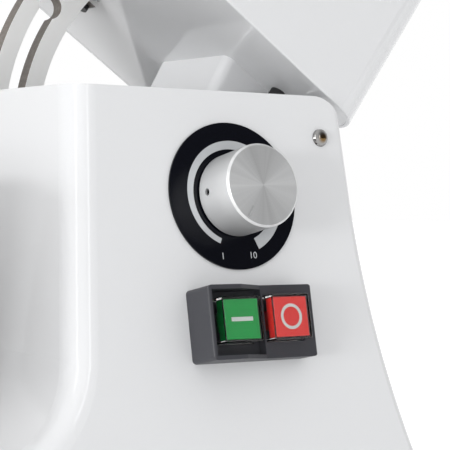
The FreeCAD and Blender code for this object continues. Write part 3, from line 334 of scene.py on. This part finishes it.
class Finish(Nodes):
    """A material that is being put together round one Principled shader."""

    def __init__(self, name, **sockets):
        self.material = bpy.data.materials.new(name)
        self.material.use_nodes = True
        super().__init__(self.material.node_tree)
        self.shader = self.tree.nodes["Principled BSDF"]
        self.wear(**sockets)

    def wear(self, **sockets):
        """Set or link the shader's sockets; names are written with underscores."""
        for name, value in sockets.items():
            self.feed(self.shader.inputs[name.replace("_", " ")], value)
        return self


def shade(tone, factor):
    """A colour made darker or lighter by a factor."""
    return tuple(channel * factor for channel in tone)


# Finishes

def enamel_finish(name, tone):
    """Gloss powder coat with a fine even speckle and the faint ripple that such paint dries with."""
    finish = Finish(name, Coat_Weight=1.0, Coat_Roughness=0.02, IOR=1.5, Specular_IOR_Level=0.2)
    here = finish.place()
    speckle = finish.noise(here, scale=2400.0, detail=1.0)
    ripple = finish.noise(here, scale=300.0, detail=1.0)
    finish.wear(
        Base_Color=finish.mix(speckle, shade(tone, factor=0.97), tone),
        Roughness=0.5 + 0.08 * speckle,
        Normal=finish.bump(ripple, depth=0.004 * MM),
    )
    return finish.material


def brushed_finish(name, tone, grain, roughness, matrix=None):
    """Metal brushed along a place; see brushing for the grain."""
    finish = Finish(name, Metallic=1.0)
    lines = finish.brushing(matrix, grain)
    cloud = finish.noise(finish.place(matrix), scale=22.0)
    finish.wear(
        Base_Color=finish.mix(lines, shade(tone, factor=0.86), tone),
        Roughness=roughness + 0.12 * lines + 0.05 * cloud,
        Normal=finish.bump(lines, depth=0.010 * MM),
    )
    return finish.material


def turned_finish(name, tone, matrix, roughness, groove):
    """Metal turned on a lathe: fine rings round the local z axis, on faces and round sides alike."""
    finish = Finish(name, Metallic=1.0)
    along, across, height = finish.split(finish.place(matrix))
    radius = (along * along + across * across).math("SQRT")
    rings = finish.rings(radius + height * RING_SLANT, scale=2600.0)
    broad = finish.rings(radius - height, scale=320.0, detail=1.0)
    finish.wear(
        Base_Color=finish.mix(rings, shade(tone, factor=0.9), tone),
        Roughness=roughness + 0.08 * broad,
        Normal=finish.bump(rings, depth=groove),
    )
    return finish.material


def pin_finish(name, tone, core, matrix):
    """A polished pin whose end has a golden middle, a painted reflection in its colour, ringed by plain
    steel.
    """
    finish = Finish(name, Metallic=1.0)
    along, across, height = finish.split(finish.place(matrix))
    radius = (along * along + across * across).math("SQRT")
    rings = finish.rings(radius + height * RING_SLANT, scale=3000.0)
    pin_radius = local_box("hinge_pin", matrix)[1].x
    # Painted reflection: golden out to 0.3 of the pin's radius, plain steel from 0.65 of it
    painted_reflection_mask = finish.ramp(radius / pin_radius, (0.3, 0.0), (0.65, 1.0))
    finish.wear(
        Base_Color=finish.mix(painted_reflection_mask, core, tone),
        Roughness=0.1 + 0.06 * rings,
        Normal=finish.bump(rings, depth=0.003 * MM),
    )
    return finish.material


def spun_painted_fan_finish(name, tone, matrix):
    """The speed knob's spun face, with fine rings and painted fans of highlight in its colour, and its
    duller turned side, which has a painted highlight at one turn.
    """
    finish = Finish(name)
    along, across, height = finish.split(finish.place(matrix))
    radius = (along * along + across * across).math("SQRT")
    turn = across.math("ARCTAN2", along)
    rings = finish.rings(radius + height * RING_SLANT, scale=2600.0)
    # Painted highlight: fans and streaks of light painted into the colour by the turn round the axis, in
    # place of the spun face's glints
    painted_fan = 0.5 + 0.5 * (turn * 2.0).math("COSINE")
    painted_streak = finish.rings(turn, scale=3.0, detail=2.0)
    light = 0.5 * painted_fan + 0.5 * painted_streak + 0.15 * rings
    outward = {0: finish.node("ShaderNodeNewGeometry").value("True Normal"), 1: matrix.col[2].to_3d()}
    facing = finish.node("ShaderNodeVectorMath", {"operation": "DOT_PRODUCT"}, outward).value("Value")
    side = facing.math("LESS_THAN", SIDE_COSINE)
    # The face's colour runs from dark to light along the painted fans and streaks
    face = finish.mix(light, shade(tone, factor=0.75), shade(tone, factor=1.45))
    # The round side gets a painted highlight as well: lighter where the painted fan is high, darker round
    # from there
    flank_with_painted_highlight = finish.mix(painted_fan * painted_fan + 0.1 * painted_streak, shade(tone, factor=0.8), shade(tone, factor=1.4))
    finish.wear(
        Base_Color=finish.mix(side, face, flank_with_painted_highlight),
        Metallic=0.5 - 0.05 * side,
        Roughness=0.26 + 0.08 * rings + 0.15 * side,
        Normal=finish.bump(rings, depth=0.03 * MM),
    )
    return finish.material


def cut_plate_finish(name, tone, edge, matrix):
    """Satin plate whose flat sides are pale and whose cut edges and slot are painted dark: partly the bare
    cut metal's own tone, partly a painted reflection of dark surroundings.
    """
    finish = Finish(name, Metallic=0.2)
    across = finish.split(finish.node("ShaderNodeNewGeometry").value("True Normal"))[0]
    cut = 1.0 - across.math("ABSOLUTE").math("GREATER_THAN", FLAT_COSINE)
    grain = finish.brushing(matrix, HEAD_GRAIN)
    skin = finish.noise(finish.place(matrix), scale=500.0, detail=3.0)
    flat = finish.mix(grain, shade(tone, factor=0.92), tone)
    finish.wear(
        # Cut edges and slot take the dark colour, partly their own tone and partly a painted reflection
        Base_Color=finish.mix(cut * (0.82 + 0.18 * skin), flat, edge),
        Roughness=0.46 + 0.1 * grain,
        Normal=finish.bump(skin, depth=0.012 * MM),
    )
    return finish.material


def moulded_finish(name, tone, roughness, texture=900.0, depth=0.012 * MM, **sockets):
    """Moulded plastic or rubber with a fine even grain."""
    finish = Finish(name, **sockets)
    here = finish.place()
    grain = finish.noise(here, scale=texture)
    cloud = finish.noise(here, scale=35.0)
    finish.wear(
        Base_Color=finish.mix(cloud, shade(tone, factor=0.88), tone),
        Roughness=roughness + 0.08 * grain,
        Normal=finish.bump(grain, depth),
    )
    return finish.material


def cast_finish(name, tone, roughness, metallic):
    """A cast or sprayed surface with a coarse skin."""
    finish = Finish(name, Metallic=metallic)
    here = finish.place()
    skin = finish.noise(here, scale=600.0, detail=3.0)
    finish.wear(
        Base_Color=finish.mix(finish.noise(here, scale=60.0), shade(tone, factor=0.8), tone),
        Roughness=roughness + 0.12 * skin,
        Normal=finish.bump(skin, depth=0.03 * MM),
    )
    return finish.material


def clear_finish(name, tone):
    """Clear moulded plastic."""
    finish = Finish(name, Base_Color=tone, Transmission_Weight=1.0, IOR=1.46)
    flow = finish.noise(finish.place(), scale=120.0)
    return finish.wear(Roughness=0.01 + 0.02 * flow).material


def dress(material, *nodes):
    """Give CAD nodes a material."""
    for node in nodes:
        slots = frame["nodes"][node].data.materials
        slots.clear()
        slots.append(material)


# Modelling

def deselect():
    if bpy.context.object and bpy.context.object.mode != "OBJECT":
        bpy.ops.object.mode_set(mode="OBJECT")
    bpy.ops.object.select_all(action="DESELECT")


def settle(piece, name, place, material, body):
    """Put a piece drawn at the origin in its place, and have it ride on its body."""
    deselect()
    piece.name = name
    piece.data.name = name
    piece.select_set(True)
    bpy.context.view_layer.objects.active = piece
    piece.matrix_world = place @ piece.matrix_world
    bpy.ops.object.transform_apply(location=True, rotation=True, scale=True)
    piece.data.materials.clear()
    piece.data.materials.append(material)
    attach(piece, body)


def apply_modifier(kind, **settings):
    piece = bpy.context.object
    modifier = piece.modifiers.new(kind.title(), kind)
    for name, value in settings.items():
        setattr(modifier, name, value)
    bpy.ops.object.modifier_apply(modifier=modifier.name)


class MIXER_OT_painted_sheet(Operator):
    """Enamel on the body, the head and the neck"""
    bl_idname = "mixer.painted_sheet"
    bl_label = "Painted sheet"

    def execute(self, context):
        tones = context.scene.mixer_finishes
        enamel = enamel_finish("white_enamel", tones.paint)
        dress(enamel, "body_shell", "rear_cover", "head_shell", "head_underplate", "hinge_neck")
        return {"FINISHED"}


class MIXER_OT_steel(Operator):
    """Brushed, bright and plated steel"""
    bl_idname = "mixer.steel"
    bl_label = "Steel pieces"

    def execute(self, context):
        tones = context.scene.mixer_finishes
        bowl = Matrix.Translation(joint("bowl_spin")["pos_m"])
        brushed = brushed_finish("stainless_brushed", tones.steel, grain=BOWL_GRAIN, roughness=0.24)
        dress(brushed, "bowl", "bowl_guard", "spiral_hook", "breaker_bar")
        turned = turned_finish("stainless_turned", tones.steel, bowl, roughness=0.25, groove=0.02 * MM)
        dress(turned, "bowl_carrier", "bowl_spindle")
        hinge = Matrix.Translation(joint("head_tilt")["pos_m"]) @ Matrix.Rotation(90 * DEGREE, 4, "Y")
        bright = turned_finish("bright_steel", shade(tones.steel, factor=1.15), hinge, roughness=0.12,
                               groove=0.006 * MM)
        dress(bright, "lock_plunger", "spiral_shaft", "motor_shaft", "pot_shaft")
        # The pin's steel is darkened by half as a painted reflection of darker surroundings, and its end has
        # a painted golden reflection in the middle
        pin = pin_finish("hinge_pin_steel", shade(tones.steel, factor=0.5), tones.pin_painted_reflection, hinge)
        dress(pin, "hinge_pin")
        zinc = cast_finish("zinc_plate", tones.zinc, roughness=0.28, metallic=1.0)
        dress(zinc, "base_plate", "foot_screws", "rear_cover_screws", "hinge_plates", "hinge_spacers",
              "neck_screws", "guard_screws", "breaker_nut", "pot_nut", "spiral_bearings")
        black = cast_finish("blackened_steel", tones.black_screw, roughness=0.4, metallic=0.6)
        dress(black, "knob_set_screw", "quadrant_screws")
        bronze = turned_finish("bronze", tones.bronze, hinge, roughness=0.3, groove=0.01 * MM)
        dress(bronze, "neck_bushes", "lock_bush")
        return {"FINISHED"}


class MIXER_OT_aluminium(Operator):
    """Satin aluminium of the quadrant and the drive"""
    bl_idname = "mixer.aluminium"
    bl_label = "Aluminium pieces"

    def execute(self, context):
        tones = context.scene.mixer_finishes
        satin = brushed_finish("satin_aluminium", tones.aluminium, grain=HEAD_GRAIN, roughness=0.3,
                               matrix=head_place())
        dress(satin, "motor_pulley", "spiral_pulley", "spiral_housing", "heat_sink")
        plate = cut_plate_finish("quadrant_plate", tones.quadrant, tones.cut_edge_and_reflection, head_place())
        dress(plate, "tilt_quadrant")
        return {"FINISHED"}


class MIXER_OT_mouldings(Operator):
    """Black mouldings, rubber, motors and electrics"""
    bl_idname = "mixer.mouldings"
    bl_label = "Mouldings and electrics"

    def execute(self, context):
        tones = context.scene.mixer_finishes
        black = moulded_finish("black_moulding", tones.housing, roughness=0.42)
        dress(black, "switch_housing", "switch_body", "cord_gland", "gland_nut", "lock_knob", "head_sensor",
              "speed_pot")
        rubber = moulded_finish("black_rubber", tones.rubber, roughness=0.7, texture=500.0, depth=0.03 * MM)
        dress(rubber, "rubber_feet", "cable_grommet", "drive_belt")
        motor = cast_finish("motor_grey", tones.motor, roughness=0.45, metallic=0.0)
        dress(motor, "head_motor", "bowl_motor", "bowl_gearbox", "bowl_bearing", "sensor_magnet")
        board = moulded_finish("circuit_board", tones.board, roughness=0.35, texture=300.0, Coat_Weight=0.5)
        dress(board, "speed_board", "board_standoffs")
        sleeve = moulded_finish("capacitor_sleeve", tones.sleeve, roughness=0.25, texture=200.0,
                                Coat_Weight=0.4)
        dress(sleeve, "board_capacitors")
        return {"FINISHED"}


class MIXER_OT_dial(Operator):
    """Dial plate with its widening scale and figures"""
    bl_idname = "mixer.dial"
    bl_label = "Dial"

    def execute(self, context):
        tones = context.scene.mixer_finishes
        sizes = context.scene.mixer_dial
        gloss = moulded_finish("dial_black", tones.dial, roughness=0.16, texture=1500.0, depth=0.004 * MM,
                               Specular_IOR_Level=0.22)
        dress(gloss, "dial_plate")
        silver = cast_finish("silver_print", tones.dial_print, roughness=0.35, metallic=0.15)
        top = local_box("dial_plate", dial_place)[1].z
        self.scale(sizes, top, silver)
        self.figure("1", "dial_figure_low", sizes, sizes.low_figure, top, silver)
        self.figure("10", "dial_figure_high", sizes, sizes.high_figure, top, silver)
        return {"FINISHED"}

    def scale(self, sizes, top, material):
        """A ring of edges extruded outwards, opened at the bottom and widened along its run."""
        deselect()
        bpy.ops.mesh.primitive_circle_add(vertices=sizes.steps, radius=sizes.inner)
        piece = bpy.context.object
        bpy.ops.object.mode_set(mode="EDIT")
        bpy.ops.mesh.select_all(action="SELECT")
        bpy.ops.mesh.extrude_edges_move()
        growth = (sizes.inner + sizes.wide) / sizes.inner
        bpy.ops.transform.resize(value=(growth, growth, 1))
        bpy.ops.mesh.select_all(action="DESELECT")
        bpy.ops.object.mode_set(mode="OBJECT")
        half_step = math.pi / sizes.steps
        for vertex in piece.data.vertices:
            turn = sizes.low_end - math.atan2(vertex.co.y, vertex.co.x)
            run = (turn + half_step) % math.tau - half_step
            vertex.select = run > sizes.sweep + half_step
            if vertex.co.length > sizes.inner + sizes.narrow / 2:
                width = sizes.narrow + (sizes.wide - sizes.narrow) * max(run, 0) / sizes.sweep
                vertex.co *= (sizes.inner + width) / vertex.co.length
        bpy.ops.object.mode_set(mode="EDIT")
        bpy.ops.mesh.delete(type="VERT")
        bpy.ops.mesh.select_all(action="SELECT")
        bpy.ops.mesh.normals_make_consistent(inside=False)
        bpy.ops.object.mode_set(mode="OBJECT")
        apply_modifier("SOLIDIFY", thickness=sizes.print_height, offset=0)
        place = dial_place @ Matrix.Translation((0, 0, top + sizes.print_height / 2))
        settle(piece, "dial_scale", place, material, "machine")

    def figure(self, text, name, sizes, middle, top, material):
        deselect()
        bpy.ops.object.text_add()
        piece = bpy.context.object
        piece.data.body = text
        piece.data.size = sizes.figure_size
        piece.data.align_x = "CENTER"
        piece.data.align_y = "CENTER"
        piece.data.extrude = sizes.print_height / 2
        bpy.ops.object.convert(target="MESH")
        piece = bpy.context.object
        place = dial_place @ Matrix.Translation((middle[0], middle[1], top + sizes.print_height / 2))
        settle(piece, name, place, material, "machine")


class MIXER_OT_knob(Operator):
    """Spun aluminium speed knob, with painted highlights in its colour"""
    bl_idname = "mixer.knob"
    bl_label = "Speed knob"

    def execute(self, context):
        tones = context.scene.mixer_finishes
        # The knob's colour carries painted fans of highlight on its face and a painted highlight on its side
        spun = spun_painted_fan_finish("spun_aluminium", tones.knob, dial_place)
        dress(spun, "speed_knob")
        return {"FINISHED"}


class MIXER_OT_switch(Operator):
    """Start and stop buttons with their marks and clear caps"""
    bl_idname = "mixer.switch"
    bl_label = "Start and stop switch"

    def execute(self, context):
        tones = context.scene.mixer_finishes
        sizes = context.scene.mixer_switch
        satin = {"roughness": 0.4, "texture": 400.0, "depth": 0.006 * MM, "Specular_IOR_Level": 0.08}
        dress(moulded_finish("green_button", tones.start, **satin), "start_button")
        dress(moulded_finish("red_button", tones.stop, **satin), "stop_button")
        dress(clear_finish("clear_cap", tones.cap), "start_cap", "stop_cap")
        white = moulded_finish("white_mark", tones.button_mark, roughness=0.4, texture=400.0,
                               depth=0.004 * MM)
        self.bar(sizes, white)
        self.ring(sizes, white)
        return {"FINISHED"}

    def face(self, node):
        """The place in the middle of a button's face."""
        low, high = local_box(node, dial_place)
        middle = (low + high) / 2
        return dial_place @ Matrix.Translation((middle.x, middle.y, high.z))

    def bar(self, sizes, material):
        deselect()
        bpy.ops.mesh.primitive_cube_add(size=1)
        piece = bpy.context.object
        piece.scale = (sizes.bar_length, sizes.bar_width, sizes.mark_height)
        bpy.ops.object.transform_apply(location=False, rotation=False, scale=True)
        bpy.ops.object.mode_set(mode="EDIT")
        bpy.ops.mesh.select_all(action="SELECT")
        bpy.ops.mesh.bevel(offset=sizes.mark_height / 4, segments=2)
        bpy.ops.object.mode_set(mode="OBJECT")
        place = self.face("start_button") @ Matrix.Translation((0, 0, sizes.mark_height / 2))
        settle(piece, "start_mark", place, material, "start")

    def ring(self, sizes, material):
        deselect()
        bpy.ops.mesh.primitive_torus_add(major_segments=64, minor_segments=12,
                                         major_radius=sizes.ring_radius, minor_radius=sizes.ring_width / 2)
        piece = bpy.context.object
        piece.scale = (1, 1, sizes.mark_height / sizes.ring_width)
        bpy.ops.object.transform_apply(location=False, rotation=False, scale=True)
        bpy.ops.object.shade_smooth()
        place = self.face("stop_button") @ Matrix.Translation((0, 0, sizes.mark_height / 2))
        settle(piece, "stop_mark", place, material, "stop")


class MIXER_OT_stage(Operator):
    """Floor, white surroundings, soft light and camera"""
    bl_idname = "mixer.stage"
    bl_label = "Studio"

    def execute(self, context):
        stage = context.scene.mixer_stage
        context.scene.view_settings.view_transform = "Standard"
        self.floor(stage)
        self.surroundings(context, stage)
        strip = (stage.strip_width, stage.strip_height)
        self.lamp("left_strip_light", stage.left_strip, strip, stage.strip_power)
        self.lamp("right_strip_light", stage.right_strip, strip, stage.strip_power)
        low = (stage.low_width, stage.low_height)
        self.lamp("front_light", stage.front_spot, low, stage.front_power)
        self.lamp("left_light", stage.left_spot, low, stage.left_power)
        self.lamp("top_light", stage.top_spot, (stage.top_size, stage.top_size), stage.top_power)
        self.lamp("rear_light", stage.rear_spot, (stage.rear_size, stage.rear_size), stage.rear_power)
        self.camera(context, stage)
        return {"FINISHED"}

    def seen_directly(self, nodes):
        """1 where a camera, mirror or glass ray looks, 0 for light that falls on the object."""
        path = nodes.node("ShaderNodeLightPath")
        total = path.value("Is Camera Ray") + path.value("Is Glossy Ray") + path.value("Is Transmission Ray")
        return total.math("MINIMUM", 1.0)

    def floor(self, stage):
        deselect()
        bpy.ops.mesh.primitive_circle_add(vertices=96, radius=stage.floor_radius, fill_type="NGON")
        floor = bpy.context.object
        floor.name = "floor"
        finish = Finish("pale_floor", Base_Color=stage.floor, Roughness=0.6)
        glow = stage.floor_glow * self.seen_directly(finish)
        finish.wear(Emission_Color=glow, Emission_Strength=1.0)
        floor.data.materials.append(finish.material)

    def surroundings(self, context, stage):
        world = bpy.data.worlds.new("white_surroundings")
        context.scene.world = world
        world.use_nodes = True
        nodes = Nodes(world.node_tree)
        path = nodes.node("ShaderNodeLightPath")
        seen = path.value("Is Camera Ray")
        through = path.value("Is Transmission Ray") * (1.0 - seen)
        mirrored = path.value("Is Glossy Ray") * (1.0 - through) * (1.0 - seen)
        aim = {0: nodes.node("ShaderNodeTexCoord").value("Generated"), 1: stage.dim_side}
        towards = nodes.node("ShaderNodeVectorMath", {"operation": "DOT_PRODUCT"}, aim).value("Value")
        mirror = nodes.ramp(towards, (stage.dim_start, 1.0), (stage.dim_end, stage.dim_level))
        shown = seen + through
        strength = stage.ambient * (1.0 - shown) * (1.0 - mirrored) + shown + mirrored * mirror
        background = world.node_tree.nodes["Background"]
        nodes.feed(background.inputs["Color"], (1.0, 1.0, 1.0))
        nodes.feed(background.inputs["Strength"], strength)

    def lamp(self, name, place, size, strength):
        """A soft rectangular light that faces the dial."""
        bpy.ops.object.light_add(type="AREA", location=dial_place.to_translation() + Vector(place))
        lamp = bpy.context.object
        lamp.name = name
        lamp.data.shape = "RECTANGLE"
        lamp.data.size = size[0]
        lamp.data.size_y = size[1]
        lamp.data.energy = strength
        lamp.rotation_euler = (-Vector(place)).to_track_quat("-Z", "Y").to_euler()

    def camera(self, context, stage):
        bpy.ops.object.camera_add()
        camera = bpy.context.object
        camera.name = "camera"
        camera.data.lens = stage.lens
        camera.data.sensor_width = SENSOR_WIDTH
        camera.data.clip_start = NEAR_CLIP
        forward = Vector((-math.cos(stage.heading) * math.cos(stage.pitch),
                          math.sin(stage.heading) * math.cos(stage.pitch), math.sin(stage.pitch)))
        level = forward.cross(Vector((0, 0, 1))).normalized()
        down = forward.cross(level)
        right = level * math.cos(stage.roll) + down * math.sin(stage.roll)
        up = level * math.sin(stage.roll) - down * math.cos(stage.roll)
        turn = Matrix((right, up, -forward)).transposed()
        eye = dial_place.to_translation() + Vector(stage.eye)
        camera.matrix_world = Matrix.Translation(eye) @ turn.to_4x4()
        context.scene.camera = camera


OPERATORS = (MIXER_OT_painted_sheet, MIXER_OT_steel, MIXER_OT_aluminium, MIXER_OT_mouldings,
             MIXER_OT_dial, MIXER_OT_knob, MIXER_OT_switch, MIXER_OT_stage)


class MIXER_PT_sidebar(Panel):
    """Lists the mixer's steps and settings"""
    bl_label = "Dough mixer"
    bl_idname = "MIXER_PT_sidebar"
    bl_space_type = "VIEW_3D"
    bl_region_type = "UI"
    bl_category = "Mixer"

    def draw(self, context):
        for step in OPERATORS:
            self.layout.operator(step.bl_idname)
        for name, group in SETTINGS.items():
            box = self.layout.box()
            for setting in group.__annotations__:
                box.prop(getattr(context.scene, name), setting)


CLASSES = (*SETTINGS.values(), *OPERATORS, MIXER_PT_sidebar)


def register():
    for entry in CLASSES:
        bpy.utils.register_class(entry)
    for name, group in SETTINGS.items():
        setattr(bpy.types.Scene, name, PointerProperty(type=group))


def unregister():
    for name in SETTINGS:
        delattr(bpy.types.Scene, name)
    for entry in reversed(CLASSES):
        bpy.utils.unregister_class(entry)


def main():
    register()
    bpy.ops.mixer.painted_sheet()
    bpy.ops.mixer.steel()
    bpy.ops.mixer.aluminium()
    bpy.ops.mixer.mouldings()
    bpy.ops.mixer.dial()
    bpy.ops.mixer.knob()
    bpy.ops.mixer.switch()
    bpy.ops.mixer.stage()


if __name__ == "__main__":
    main()
